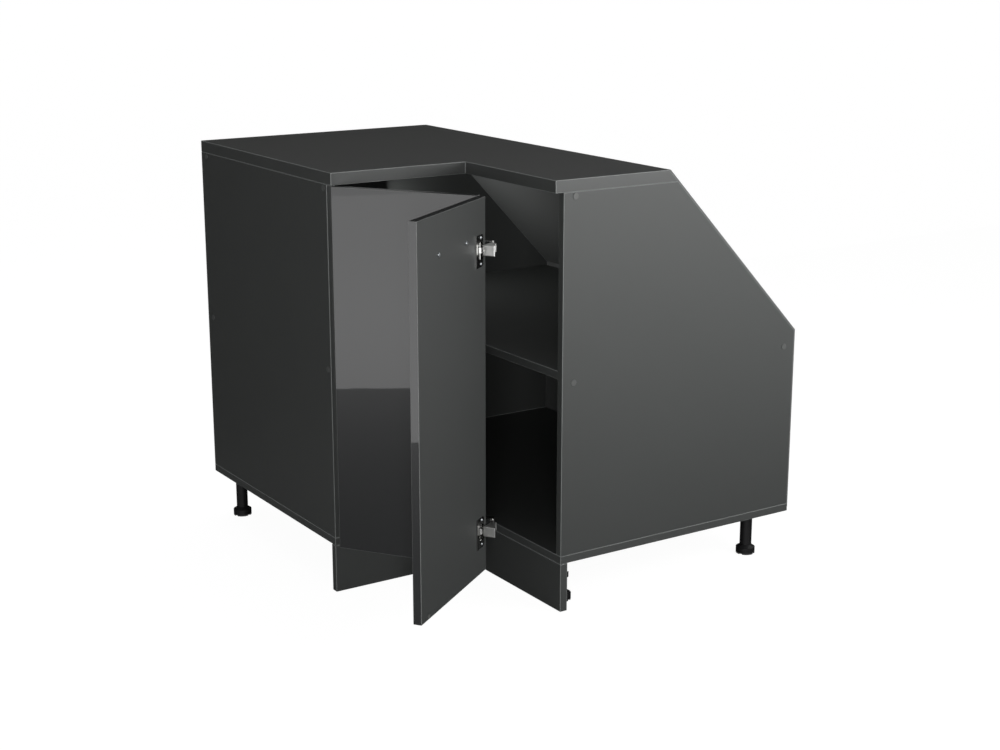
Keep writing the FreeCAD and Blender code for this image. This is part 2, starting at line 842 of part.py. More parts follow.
def hinge_cup(pin):
    """Cup with flange and pin. X runs along the leaf from its edge, Y out of its inner face."""
    centre = V(cup_from_edge, 0, 0)
    wall = rod(centre, -ALONG_Y, cup_radius, cup_depth)
    half = flange_height / 2
    plate = turned_about_up(rounded_plate((flange_far - flange_near) / 2, half, flange_corner, flange_sheet),
                            V(0, 0, 0), QUARTER_TURN)
    plate = moved(plate, V((flange_near + flange_far) / 2, 0, 0))
    bar = box(flange_far - flange_bar, flange_far, 0, flange_sheet + flange_bar_rise, -half, half)
    hollow_depth = cup_depth + flange_sheet - cup_floor
    hollow = rod(centre + ALONG_Y * flange_sheet, -ALONG_Y, cup_radius - cup_wall, hollow_depth)
    holes = [rod(V(cup_from_edge, 0, z), ALONG_Y, wood_screw_radius + screw_fit, flange_sheet)
             for z in (-flange_screw_pitch / 2, flange_screw_pitch / 2)]
    shell = fused([wall, plate, bar]).cut([hollow] + holes)
    off = pin.x - cup_from_edge
    half_pin = math.sqrt((cup_radius - cup_wall / 2) ** 2 - off ** 2)
    return fused([shell, pivot(pin, pin_radius, half_pin)])


def cup_bore():
    """What a leaf loses for one cup and its two screws, in the cup's own frame."""
    bore = rod(V(cup_from_edge, 0, 0), -ALONG_Y, cup_radius + cup_fit, cup_depth + cup_fit)
    return [bore] + [rod(V(cup_from_edge, 0, z), -ALONG_Y, wood_screw_radius + screw_fit, flange_screw_bite)
                     for z in (-flange_screw_pitch / 2, flange_screw_pitch / 2)]


def cup_screw_pair():
    return [wood_screw(V(cup_from_edge, flange_sheet, z), -ALONG_Y, flange_screw_bite)
            for z in (-flange_screw_pitch / 2, flange_screw_pitch / 2)]


def mounting_plate():
    """Plate against the plane X = 0, its ridge carrying the arm. The arm points along -Y."""
    plate = rounded_plate(plate_length / 2, plate_height / 2, plate_corner, plate_sheet)
    ridge = box(plate_sheet / 2, arm_rise - arm_sheet, -ridge_front, plate_length / 2 - arm_sheet,
                -ridge_half, ridge_half)
    return fused([plate, ridge]).cut(plate_screw_holes_at(0, plate_sheet))


def plate_screw_holes_at(start, length):
    return [rod(V(start, 0, z), ALONG_X, wood_screw_radius + screw_fit, length)
            for z in (-plate_screw_pitch / 2, plate_screw_pitch / 2)]


def plate_bores():
    """Screw holes of a mounting plate in the board behind it."""
    return plate_screw_holes_at(-plate_screw_bite, plate_screw_bite)


def plate_screw_pair():
    return [wood_screw(V(plate_sheet, 0, z), -ALONG_X, plate_screw_bite)
            for z in (-plate_screw_pitch / 2, plate_screw_pitch / 2)]


def hinge_arm(pin):
    """A folded channel over the plate's ridge, reaching to its pin, in the plate's frame."""
    low = plate_sheet + link_gap
    back = plate_length / 2 + arm_nose
    bend = -arm_bend
    reach = pin - V(arm_rise, bend, 0)
    across = V(-reach.y, reach.x, 0)
    across.normalize()
    upper = pin + across * arm_nose
    lower = pin - across * arm_nose
    outline = [(low, back), (arm_rise, back), (arm_rise, bend)]
    outline += [(upper.x, upper.y), (lower.x, lower.y), (low, bend)]
    side = plan_prism(outline, -arm_half, arm_half)
    nose = pivot(pin, arm_nose, arm_half)
    hollow_half = arm_half - arm_sheet
    body = fused([side, nose])
    hollow = box(-pin.Length, arm_rise - arm_sheet, -pin.Length * 2, back + overrun,
                 -hollow_half, hollow_half)
    throat = box(-pin.Length, pin.x + arm_nose + overrun, pin.y - arm_nose * 2, bend,
                 -hollow_half, hollow_half)
    channel = body.cut([hollow, throat])
    pin_piece = pivot(pin, pin_radius, arm_half)
    screw = rod(V(arm_rise, arm_screw_back, 0), ALONG_X, arm_screw_radius, arm_screw_height)
    slot = box(arm_rise + arm_screw_height / 2, arm_rise + arm_screw_height,
               arm_screw_back - arm_screw_radius, arm_screw_back + arm_screw_radius,
               -arm_screw_height / 2, arm_screw_height / 2)
    return fused([channel, pin_piece, screw]).cut(slot)


def at_swing_plate(shape, z):
    """From the plate's frame to the left side panel's inner face."""
    return moved(shape, V(board, notch_y + swing_plate_centre, z))


def at_fold_plate(shape, z):
    """From the plate's frame to the left leaf's inner face, doors closed."""
    turned = turned_about_up(shape, V(0, 0, 0), QUARTER_TURN)
    return moved(turned, V(notch_x - fold_plate_centre, notch_y + leaf_thickness, z))


def at_swing_cup(shape, z):
    """From the cup's frame to the left leaf, doors closed."""
    return moved(shape, V(0, notch_y + leaf_thickness, z))


def at_fold_cup(shape, z):
    """From the cup's frame to the right leaf, doors closed."""
    turned = turned_about_up(shape, V(0, 0, 0), -QUARTER_TURN)
    return moved(turned, V(notch_x + leaf_thickness, notch_y - fold_gap, z))


swing_arm_local = swing_arm_pin - V(board, swing_plate_centre, 0)
fold_arm_local = V(fold_arm_pin.y - leaf_thickness, -(fold_arm_pin.x + fold_plate_centre), 0)
swing_cup_local = swing_cup_pin - V(0, leaf_thickness, 0)
fold_cup_local = V(-fold_cup_pin.y - fold_gap, fold_cup_pin.x - leaf_thickness, 0)
swing_cup_place = swing_axis + turned_vector(swing_cup_pin, -door_open)
swing_arm_place = swing_axis + swing_arm_pin
swing_meeting = swing_arm_place + turned_vector(swing_cup_pin, -door_open)
fold_cup_place = fold_axis + fold_cup_pin
fold_arm_place = fold_axis + fold_arm_pin
fold_meeting = fold_arm_place + fold_cup_pin


def both(place, shape):
    """The same piece at the lower and the upper hinge."""
    return Part.makeCompound([place(shape, z) for z in hinge_heights])


def raised(shape, z):
    return moved(shape, UP * z)


def main_hinge_plates():
    return both(at_swing_plate, mounting_plate())


def main_hinge_arms():
    return both(at_swing_plate, hinge_arm(swing_arm_local))


def main_plate_screws():
    return both(at_swing_plate, Part.makeCompound(plate_screw_pair()))


def main_inner_links():
    return both(raised, inner_link(swing_arm_place, swing_meeting))


def main_outer_links():
    return both(raised, outer_link(swing_cup_place, swing_meeting))


def main_hinge_cups():
    return swung(both(at_swing_cup, hinge_cup(swing_cup_local)))


def main_cup_screws():
    return swung(both(at_swing_cup, Part.makeCompound(cup_screw_pair())))


def fold_hinge_plates():
    return swung(both(at_fold_plate, mounting_plate()))


def fold_hinge_arms():
    return swung(both(at_fold_plate, hinge_arm(fold_arm_local)))


def fold_plate_screws():
    return swung(both(at_fold_plate, Part.makeCompound(plate_screw_pair())))


def fold_inner_links():
    return swung(both(raised, inner_link(fold_arm_place, fold_meeting)))


def fold_outer_links():
    return swung(both(raised, hooded_link(fold_cup_place, fold_meeting)))


def fold_hinge_cups():
    return swung(both(at_fold_cup, hinge_cup(fold_cup_local)))


def fold_cup_screws():
    return swung(both(at_fold_cup, Part.makeCompound(cup_screw_pair())))


def door_left_leaf():
    """The leaf on the left wing, hung on the side panel."""
    leaf = box(0, leaf_width, notch_y, notch_y + leaf_thickness, leaf_low, leaf_high)
    bores = [at_swing_cup(bore, z) for z in hinge_heights for bore in cup_bore()]
    bores += [at_fold_plate(bore, z) for z in hinge_heights for bore in plate_bores()]
    return swung(leaf.cut(bores))


def door_right_leaf():
    """The leaf on the right wing, hung on the left leaf, bored for the handle."""
    leaf = box(notch_x, notch_x + leaf_thickness, leaf_end_margin, leaf_end_margin + leaf_width,
               leaf_low, leaf_high)
    bores = [at_fold_cup(bore, z) for z in hinge_heights for bore in cup_bore()]
    bores += [rod(seat, ALONG_X, handle_screw_radius + screw_fit, leaf_thickness) for seat in handle_seats()]
    return swung(leaf.cut(bores))


def handle_seats():
    """Where the handle meets the outer face of the right leaf, doors closed."""
    middle = leaf_end_margin + leaf_width / 2
    return [V(notch_x, middle + side * handle_pitch / 2, handle_height) for side in (-1, 1)]


def handle():
    """A round bow on two feet."""
    near, far = handle_seats()
    out = -ALONG_X * handle_reach
    bend = handle_bend
    arc_middle = bend * (1 - math.sqrt(1 / 2))
    corners = []
    for seat, side in ((near, ALONG_Y), (far, -ALONG_Y)):
        start = seat + out + ALONG_X * bend
        middle = seat + out + ALONG_X * arc_middle + side * arc_middle
        corners.append((start, middle, seat + out + side * bend))
    first, last = corners
    path = Part.Wire([
        Part.makeLine(near, first[0]),
        Part.Arc(first[0], first[1], first[2]).toShape(),
        Part.makeLine(first[2], last[2]),
        Part.Arc(last[2], last[1], last[0]).toShape(),
        Part.makeLine(last[0], far),
    ])
    section = Part.Wire([Part.makeCircle(handle_radius, near, ALONG_X)])
    bow = path.makePipeShell([section], True, True)
    feet = [Part.makeCone(handle_foot_radius, handle_radius, handle_foot_thickness, s, -ALONG_X)
            for s in (near, far)]
    bores = [rod(s, -ALONG_X, handle_screw_radius + screw_fit, handle_screw_bite) for s in (near, far)]
    return swung(fused([bow] + feet).cut(bores))


def handle_screws():
    """Dome-headed screws from the leaf's inner face into the handle."""
    screws = []
    for seat in handle_seats():
        inner = seat + ALONG_X * leaf_thickness
        head = rod(inner, ALONG_X, handle_screw_head_radius, handle_screw_head_height)
        dome = handle_screw_head_height / 2
        rims = [e for e in head.Edges if e.Closed and e.CenterOfMass.x > inner.x + dome]
        shank = rod(inner, -ALONG_X, handle_screw_radius, leaf_thickness + handle_screw_bite)
        screws.append(fused([head.makeFillet(dome, rims), shank]))
    return swung(Part.makeCompound(screws))


def bumper(seat, way):
    return rod(seat, way, bumper_radius, leaf_setback - bumper_seat_gap)


def door_bumper_left():
    """A soft dot low on the left leaf that meets the front edge of the base."""
    seat = V(notch_x - fold_gap - bumper_from_end, notch_y + leaf_thickness, leg_height + board / 2)
    return swung(bumper(seat, ALONG_Y))


def door_bumper_right():
    seat = V(notch_x + leaf_thickness, leaf_end_margin + bumper_from_end, leg_height + board / 2)
    return swung(bumper(seat, ALONG_X))


def sub_parts():
    """Every piece by the name of its node."""
    makers = [
        worktop, left_side_panel, right_side_panel, wall_panel, base_panel, sloped_back, lower_back, shelf,
        shelf_studs, fixing_screws, cover_caps_left, cover_caps_right,
        worktop_brackets, worktop_bracket_screws, socket_screws, left_plinth, right_plinth,
        plinth_clips, corner_bracket, plinth_screws, base_screws, wall_plates, wall_plate_screws, back_nails,
        main_hinge_plates, main_plate_screws, main_hinge_arms, main_inner_links, main_outer_links,
        main_hinge_cups, main_cup_screws, door_left_leaf, door_bumper_left,
        fold_hinge_plates, fold_plate_screws, fold_hinge_arms, fold_inner_links, fold_outer_links,
        fold_hinge_cups, fold_cup_screws, door_right_leaf, door_bumper_right, handle, handle_screws,
    ]
    pieces = {maker.__name__: maker() for maker in makers}
    for name, place in leg_places.items():
        pieces["leg_" + name] = leg(place)
        pieces["foot_" + name] = foot(place)
    return pieces


def main():
    os.makedirs("parts", exist_ok=True)
    pieces = sub_parts()
    bounds = FreeCAD.BoundBox()
    for shape in pieces.values():
        bounds.add(shape.optimalBoundingBox(False))
    origin = V(bounds.Center.x, bounds.Center.y, bounds.ZMin)
    for name, shape in pieces.items():
        moved(shape, -origin).exportStep(os.path.join("parts", name + ".step"))
    print("origin in the corner frame:", [round(v, 4) for v in origin])
    print("overall size:", round(bounds.XLength, 2), round(bounds.YLength, 2), round(bounds.ZLength, 2))


main()
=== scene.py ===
# %% [markdown]
# A corner base cabinet for an L-shaped kitchen. Its construction is already drawn at full size, in metres,
# and is loaded here as a fixed frame. This lesson gives every board, front, foot and fitting its real
# finish. It starts with the frame itself.

# %% Load the cabinet
import math
import bpy
import bmesh
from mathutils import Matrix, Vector


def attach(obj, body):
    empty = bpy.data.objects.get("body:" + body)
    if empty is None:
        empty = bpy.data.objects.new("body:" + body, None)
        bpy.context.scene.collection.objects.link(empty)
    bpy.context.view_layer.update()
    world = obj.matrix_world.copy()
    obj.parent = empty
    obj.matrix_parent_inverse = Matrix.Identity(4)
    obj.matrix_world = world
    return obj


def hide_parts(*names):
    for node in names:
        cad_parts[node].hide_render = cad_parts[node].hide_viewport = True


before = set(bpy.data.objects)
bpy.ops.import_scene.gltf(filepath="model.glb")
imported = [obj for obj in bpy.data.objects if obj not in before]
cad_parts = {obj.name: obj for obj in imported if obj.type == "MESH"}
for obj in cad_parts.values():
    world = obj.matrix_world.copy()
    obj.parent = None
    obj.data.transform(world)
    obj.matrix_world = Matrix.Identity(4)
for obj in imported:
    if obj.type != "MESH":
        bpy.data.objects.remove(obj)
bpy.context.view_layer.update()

# %% [markdown]
# Colours are picked as sRGB hex values, the way a colour card gives them. A shader works with linear light,
# so one function turns the hex value round. A second small function adds a node to a material with its
# settings and links, which keeps each material below short enough to read.

# %% Colour and node helpers
MM = 0.001
WHITE = "#ffffff"
BLACK = "#050505"
ANTHRACITE = "#4b4d4c"
MATTE = 0.9


def linear(hex_colour):
    """An sRGB hex colour as linear red, green, blue and full alpha."""
    parts = [int(hex_colour[i:i + 2], 16) / 255 for i in (1, 3, 5)]
    return [p / 12.92 if p <= 0.04045 else ((p + 0.055) / 1.055) ** 2.4 for p in parts] + [1.0]


def add_node(material, kind, settings=None, **inputs):
    """Adds one node. Settings are its attributes; an input is a value, or another node's output to link.
    An input is named by its label, or by at_ and its number."""
    node = material.node_tree.nodes.new(kind)
    for name, value in (settings or {}).items():
        setattr(node, name, value)
    for name, value in inputs.items():
        place = int(name.removeprefix("at_")) if name.startswith("at_") else name.replace("_", " ")
        socket = node.inputs[place]
        if isinstance(value, bpy.types.NodeSocket):
            material.node_tree.links.new(value, socket)
        else:
            socket.default_value = value
    return node


def new_material(name):
    """A material with its Principled shader, and Object coordinates to draw patterns in real metres."""
    material = bpy.data.materials.new(name)
    material.use_nodes = True
    shader = material.node_tree.nodes["Principled BSDF"]
    place = add_node(material, "ShaderNodeTexCoord").outputs["Object"]
    return material, shader, place


print("anthracite in linear light:", [round(v, 4) for v in linear(ANTHRACITE)])

# %% [markdown]
# The camera stands at chest height in front of the open inner corner and looks down at the cabinet, with a
# moderate telephoto lens, as for a catalogue. Its place is given from the corner of the side panels: across
# the front, back towards the wall, and up from the floor.

# %% Camera
side_corner = Vector((-411.8434, -397.4748, 0)) * MM
camera_place = side_corner + Vector((-1469, -2531, 1288)) * MM
camera_yaw = math.radians(33.014)
camera_pitch = math.radians(14.676)
LENS_MM = 61.59
SENSOR_MM = 36
camera_data = bpy.data.cameras.new("catalogue_camera")
camera_data.lens = LENS_MM
camera_data.sensor_width = SENSOR_MM
camera = bpy.data.objects.new("catalogue_camera", camera_data)
bpy.context.scene.collection.objects.link(camera)
camera.location = camera_place
camera.rotation_euler = (math.pi / 2 - camera_pitch, 0, -camera_yaw)
bpy.context.scene.camera = camera
bpy.context.scene.view_settings.view_transform = "Standard"
print("camera", [round(v, 3) for v in camera.location], "lens", camera_data.lens)

# %% [markdown]
# A dark cabinet on white is lit like a bottle: large soft sources, placed so that each visible side gets
# its own level. The side nearest the camera is brightest, the top is darker, and the side facing left is
# darkest. The floor looks white to the camera and in reflections, and still takes the soft shadow under the
# cabinet.

# %% Floor, world and lights
SOFT_STUDIO = 0.18
FLOOR_SIZE = 60
FLOOR_GLOW = 1.2
FLOOR_GLOW_SHARE = 0.8


def area_light(name, place, target, size, watts):
    """A soft rectangular light at place, facing target, in metres from the cabinet's middle on the floor."""
    data = bpy.data.lights.new(name, "AREA")
    data.shape = "RECTANGLE"
    data.size, data.size_y = size
    data.energy = watts
    lamp = bpy.data.objects.new(name, data)
    bpy.context.scene.collection.objects.link(lamp)
    lamp.location = place
    lamp.rotation_euler = (Vector(target) - Vector(place)).to_track_quat("-Z", "Y").to_euler()
    lamp.visible_camera = False


area_light("right_strip", (0.8, -1.5, 1.0), (0.2, -0.4, 0.7), (1.2, 0.5), watts=9.6)
area_light("top_softbox", (0.3, 0.6, 3.0), (0.1, 0.1, 0.8), (2.4, 2.4), watts=18.0)
area_light("left_softbox", (-3.2, -1.0, 1.6), (-0.4, 0.1, 0.5), (1.6, 2.0), watts=0.9)
area_light("camera_fill", (-1.9, -2.95, 0.9), (0.1, 0.0, 0.55), (0.5, 0.5), watts=23.5)
area_light("interior_fill", (-0.012, 0.43, 0.66), (0.45, 0.1, 0.68), (0.12, 0.12), watts=0.43)


def seen_directly(owner):
    """One for what the camera, a reflection or a view through glass shows, and nothing for soft light."""
    path = add_node(owner, "ShaderNodeLightPath")
    shown = path.outputs["Is Camera Ray"]
    for kind in ("Is Glossy Ray", "Is Transmission Ray"):
        shown = add_node(owner, "ShaderNodeMath", {"operation": "MAXIMUM"}, at_0=shown,
                         at_1=path.outputs[kind]).outputs[0]
    return shown


world = bpy.data.worlds.new("white_studio")
bpy.context.scene.world = world
world.use_nodes = True
studio = world.node_tree.nodes["Background"]
studio.inputs["Color"].default_value = linear(WHITE)
studio_level = add_node(world, "ShaderNodeMapRange", Value=seen_directly(world), To_Min=SOFT_STUDIO,
                        To_Max=1.0)
world.node_tree.links.new(studio_level.outputs["Result"], studio.inputs["Strength"])

bpy.ops.object.select_all(action="DESELECT")
bpy.ops.mesh.primitive_plane_add(size=FLOOR_SIZE, location=(0, 0, 0))
floor = bpy.context.object
floor.name = "studio_floor"
floor_paint, floor_shader = new_material("pale_studio_floor")[:2]
floor_shader.inputs["Base Color"].default_value = linear("#e6e6e6")
floor_shader.inputs["Roughness"].default_value = MATTE
glow = add_node(floor_paint, "ShaderNodeEmission", Color=linear(WHITE), Strength=FLOOR_GLOW)
share = add_node(floor_paint, "ShaderNodeMath", {"operation": "MULTIPLY"},
                 at_0=seen_directly(floor_paint), at_1=FLOOR_GLOW_SHARE)
blend = add_node(floor_paint, "ShaderNodeMixShader", Fac=share.outputs[0],
                 at_1=floor_shader.outputs["BSDF"], at_2=glow.outputs["Emission"])
output = floor_paint.node_tree.nodes["Material Output"]
floor_paint.node_tree.links.new(blend.outputs["Shader"], output.inputs["Surface"])
floor.data.materials.append(floor_paint)

# %% [markdown]
# A glossy door shows whatever it faces. To its left the floor is covered near the cabinet with black cloth,
# and lit beyond it, so the film mirrors a bright upper half and a dark lower half with a crisp line between
# them. Black flags behind, above and at the right keep the white studio out of the broad matte faces, which
# would look milky. All of them are seen in reflections only.

# %% Reflection cards
CARD_RISE = 3
FLAG_TOP = 3500
LEFT_END, RIGHT_END, FRONT_END, FLAG_BACK = -5200, 5000, -5500, 2600
CLOTH_FRONT, CLOTH_BACK, RIGHT_CLOTH_FRONT = -1300, 1300, -1600
CLOTH_LEFT, CLOTH_LEFT_BACK, CLOTH_RIGHT = -1290, -1790, -60
BACK_LEFT, BACK_RIGHT = -4500, 4500


def reflection_card(name, corners, tone, strength):
    """A flat card, seen by reflections only. Its corners are in millimetres from the side panels' corner."""
    mesh = bpy.data.meshes.new(name)
    mesh.from_pydata([side_corner + Vector(corner) * MM for corner in corners], [], [(0, 1, 2, 3)])
    card = bpy.data.objects.new(name, mesh)
    bpy.context.scene.collection.objects.link(card)
    material, shader = new_material(name)[:2]
    shader.inputs["Base Color"].default_value = linear(tone)
    shader.inputs["Roughness"].default_value = MATTE
    shader.inputs["Emission Color"].default_value = linear(WHITE)
    shader.inputs["Emission Strength"].default_value = strength
    mesh.materials.append(material)
    card.visible_camera = False
    card.visible_diffuse = False
    card.visible_shadow = False


def lying(*corners):
    """The corners of a card that lies just over the floor."""
    return [(x, y, CARD_RISE) for x, y in corners]


def standing(start, end):
    """The corners of a card that stands on the floor from one place to another."""
    return [start + (0,), end + (0,), end + (FLAG_TOP,), start + (FLAG_TOP,)]


cards = [
    ("black_cloth", lying((CLOTH_LEFT, CLOTH_FRONT), (CLOTH_RIGHT, CLOTH_FRONT), (CLOTH_RIGHT, CLOTH_BACK),
                          (CLOTH_LEFT_BACK, CLOTH_BACK)), BLACK, 0.055),
    ("lit_floor", lying((LEFT_END, CLOTH_FRONT), (CLOTH_LEFT, CLOTH_FRONT), (CLOTH_LEFT_BACK, CLOTH_BACK),
                        (LEFT_END, CLOTH_BACK)), WHITE, 1.12),
    ("lit_floor_right", lying((-600, FRONT_END), (RIGHT_END, FRONT_END), (RIGHT_END, RIGHT_CLOTH_FRONT),
                              (-600, RIGHT_CLOTH_FRONT)), WHITE, 2.1),
    ("cloth_right", lying((CLOTH_RIGHT, RIGHT_CLOTH_FRONT), (2500, RIGHT_CLOTH_FRONT), (2500, CLOTH_BACK),
                          (CLOTH_RIGHT, CLOTH_BACK)), BLACK, 0.0),
    ("cloth_behind", lying((BACK_LEFT, CLOTH_BACK), (BACK_RIGHT, CLOTH_BACK), (BACK_RIGHT, FLAG_BACK),
                           (BACK_LEFT, FLAG_BACK)), BLACK, 0.0),
    ("flag_behind", standing((BACK_LEFT, FLAG_BACK), (BACK_RIGHT, FLAG_BACK)), BLACK, 0.0),
    ("flag_right", standing((RIGHT_END, FRONT_END), (RIGHT_END, FLAG_BACK)), BLACK, 0.0),
    ("flag_above", [(-3000, -2500, FLAG_TOP), (3000, -2500, FLAG_TOP), (3000, FLAG_BACK, FLAG_TOP),
                    (-3000, FLAG_BACK, FLAG_TOP)], BLACK, 0.0),
]
for name, corners, tone, strength in cards:
    reflection_card(name, corners, tone, strength)

# %% [markdown]
# Melamine-faced chipboard is a printed paper pressed with resin onto the board. The plate that presses it
# leaves a fine pearl grain, so the sheen breaks up softly and the colour stays even. Real grains are about
# a third of a millimetre; they are drawn a little coarser so that they can show at this distance.

# %% Melamine boards
GRAIN = 0.9 * MM
CLOUDS_PER_METRE = 6
TINT_DRIFT = 0.04


def melamine(name, tone, roughness):
    """Pearl-grain melamine: nearly even colour, low sheen, very fine bumps."""
    material, shader, place = new_material(name)
    cloud = add_node(material, "ShaderNodeTexNoise", Vector=place, Scale=CLOUDS_PER_METRE, Detail=3.0)
    tint = add_node(material, "ShaderNodeMix", {"data_type": "RGBA"}, Factor=cloud.outputs["Fac"])
    tint.inputs["A"].default_value = [c * (1 - TINT_DRIFT) for c in linear(tone)[:3]] + [1.0]
    tint.inputs["B"].default_value = [c * (1 + TINT_DRIFT) for c in linear(tone)[:3]] + [1.0]
    material.node_tree.links.new(tint.outputs["Result"], shader.inputs["Base Color"])
    grain = add_node(material, "ShaderNodeTexNoise", Vector=place, Scale=1 / GRAIN, Detail=2.0)
    bump = add_node(material, "ShaderNodeBump", Height=grain.outputs["Fac"], Strength=0.12,
                    Distance=0.05 * MM)
    material.node_tree.links.new(bump.outputs["Normal"], shader.inputs["Normal"])
    shader.inputs["Roughness"].default_value = roughness
    shader.inputs["IOR"].default_value = 1.5
    return material


anthracite = melamine("anthracite_melamine", ANTHRACITE, 0.46)
worktop_laminate = melamine("anthracite_worktop_laminate", "#464746", 0.5)
edge_band = melamine("anthracite_abs_edge_band", "#4f5150", 0.42)
# The pale tone of the edge rounds is a painted highlight, not the band's own colour.
painted_highlight_band = melamine("abs_band_radius_painted_highlight", "#909392", 0.26)
# The back boards' paler tone is partly the hardboard's own colour and partly painted light that brightens
# the sloped back.
hardboard_tone_and_painted_light = melamine("back_board_tone_and_painted_light", "#6a6c6b", 0.6)
print("boards:", [m.name for m in (anthracite, worktop_laminate, edge_band, painted_highlight_band, hardboard_tone_and_painted_light)])

# %% [markdown]
# The two fronts are board wrapped in a high-gloss film. Under its clear layer the colour is flat
# anthracite, and the layer mirrors the room. Film pressed over chipboard is never quite flat, so the mirror
# image waves slightly: the waves are about forty millimetres long and far too shallow to see directly.
# The small radius of each edge is coloured paler, a painted highlight.

# %% High-gloss film
FILM_WAVE = 40 * MM
gloss_film, gloss_shader, gloss_place = new_material("anthracite_high_gloss_film")
gloss_shader.inputs["Base Color"].default_value = linear("#343536")
gloss_shader.inputs["Roughness"].default_value = 0.3
gloss_shader.inputs["IOR"].default_value = 1.5
gloss_shader.inputs["Coat Weight"].default_value = 1.0
gloss_shader.inputs["Coat Roughness"].default_value = 0.02
gloss_shader.inputs["Coat IOR"].default_value = 1.6
film_wave = add_node(gloss_film, "ShaderNodeTexNoise", Vector=gloss_place, Scale=1 / FILM_WAVE, Detail=1.0)
film_bump = add_node(gloss_film, "ShaderNodeBump", Height=film_wave.outputs["Fac"], Strength=0.02,
                     Distance=1 * MM)
gloss_film.node_tree.links.new(film_bump.outputs["Normal"], gloss_shader.inputs["Coat Normal"])
# The pale tone on the film's edge rounds is a painted highlight.
painted_highlight_film = melamine("film_radius_painted_highlight", "#858786", 0.25)
print("film:", gloss_film.name, painted_highlight_film.name)

# %% [markdown]
# The legs, feet and plinth clips are moulded black polypropylene with a fine spark-eroded grain, the cover
# caps a paler grey plastic with the same grain, and the door bumpers clear soft polyurethane dots that take
# on the tone of the board.

# %% Plastics
SHEEN_DRIFT = 0.06


def moulded(name, tone, roughness, grain):
    """Injection-moulded plastic: even colour and a fine eroded texture."""
    material, shader, place = new_material(name)
    speck = add_node(material, "ShaderNodeTexNoise", Vector=place, Scale=1 / grain, Detail=2.0)
    bump = add_node(material, "ShaderNodeBump", Height=speck.outputs["Fac"], Strength=0.25,
                    Distance=0.08 * MM)
    material.node_tree.links.new(bump.outputs["Normal"], shader.inputs["Normal"])
    shade = add_node(material, "ShaderNodeMapRange", Value=speck.outputs["Fac"],
                     To_Min=roughness - SHEEN_DRIFT, To_Max=roughness + SHEEN_DRIFT)
    material.node_tree.links.new(shade.outputs["Result"], shader.inputs["Roughness"])
    shader.inputs["Base Color"].default_value = linear(tone)
    shader.inputs["IOR"].default_value = 1.49
    return material


leg_plastic = moulded("black_moulded_polypropylene", "#1b1b1c", 0.45, 0.8 * MM)
cap_plastic = moulded("anthracite_moulded_cap_plastic", "#606261", 0.32, 0.6 * MM)
bumper_soft = moulded("clear_soft_polyurethane", "#6b6c6a", 0.35, 0.9 * MM)
print("plastics:", leg_plastic.name, cap_plastic.name, bumper_soft.name)

# %% [markdown]
# The hinge links and the handle are steel with bright nickel plating; the stamped cups, arms and plates and
# the shelf studs get a smoother copy of that nickel whose darker colour is painted shade that dims them.
# Screws, brackets and nails are zinc plated, which is duller and a little blue, with cloudy patches a few
# millimetres wide.

# %% Metals
PLATING_DRIFT = 0.08


def plated(name, tone, roughness, patch):
    """Plated steel: full metal, its roughness drifting in soft patches."""
    material, shader, place = new_material(name)
    clouds = add_node(material, "ShaderNodeTexNoise", Vector=place, Scale=1 / patch, Detail=3.0)
    drift = add_node(material, "ShaderNodeMapRange", Value=clouds.outputs["Fac"],
                     To_Min=roughness - PLATING_DRIFT, To_Max=roughness + PLATING_DRIFT)
    material.node_tree.links.new(drift.outputs["Result"], shader.inputs["Roughness"])
    shader.inputs["Base Color"].default_value = linear(tone)
    shader.inputs["Metallic"].default_value = 1.0
    return material


nickel = plated("bright_nickel_plate", "#e4e4e2", 0.4, 12 * MM)
# The darker tone of this nickel copy is painted shade that dims the cups, arms, plates and studs.
nickel_painted_shade = plated("nickel_plate_painted_shade", "#a6a6a4", 0.22, 12 * MM)
zinc = plated("blue_zinc_plate", "#a9adb0", 0.38, 6 * MM)
print("metals:", nickel.name, nickel_painted_shade.name, zinc.name)

# %% [markdown]
# Most fittings already have their true shape in the frame, so they only need a finish. Each CAD node gets
# the material that fits its name. The boards get a plain finish too, and their softened edges come next.

# %% Finish the fittings
stamped = [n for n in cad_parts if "hinge" in n and "links" not in n and not n.endswith("screws")]
finishes = {
    leg_plastic: ["plinth_clips"] + [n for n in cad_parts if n.startswith(("leg_", "foot_"))],
    cap_plastic: ["cover_caps_left", "cover_caps_right"],
    bumper_soft: ["door_bumper_left", "door_bumper_right"],
    nickel: [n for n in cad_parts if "links" in n] + ["handle"],
    nickel_painted_shade: stamped + ["shelf_studs"],
    zinc: [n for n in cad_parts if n.endswith("screws")]
    + ["worktop_brackets", "corner_bracket", "wall_plates", "back_nails"],
    anthracite: ["left_side_panel", "right_side_panel", "wall_panel", "base_panel", "shelf", "left_plinth",
                 "right_plinth", "door_left_leaf", "door_right_leaf"],
    worktop_laminate: ["worktop"],
    hardboard_tone_and_painted_light: ["sloped_back", "lower_back"],
}


def give_finish(item, material):
    """Puts one material on every face of a piece."""
    item.data.materials.clear()
    item.data.materials.append(material)


for material, names in finishes.items():
    for name in names:
        give_finish(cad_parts[name], material)
bare = set(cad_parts) - {name for names in finishes.values() for name in names}
print("without a finish:", sorted(bare))

# %% [markdown]
# A cut board is never knife sharp: its edge band is trimmed to a tiny round. That round is coloured much
# paler and smoother than the band, a painted highlight that draws a thin bright line along each edge. Each
# board is copied from the frame, its loose triangles are merged to whole faces, and only the long edges are
# bevelled, so that screw holes keep their crisp rims. The narrow sides then get the edge band, the rounds
# the pale painted-highlight band, and the broad faces keep the board.

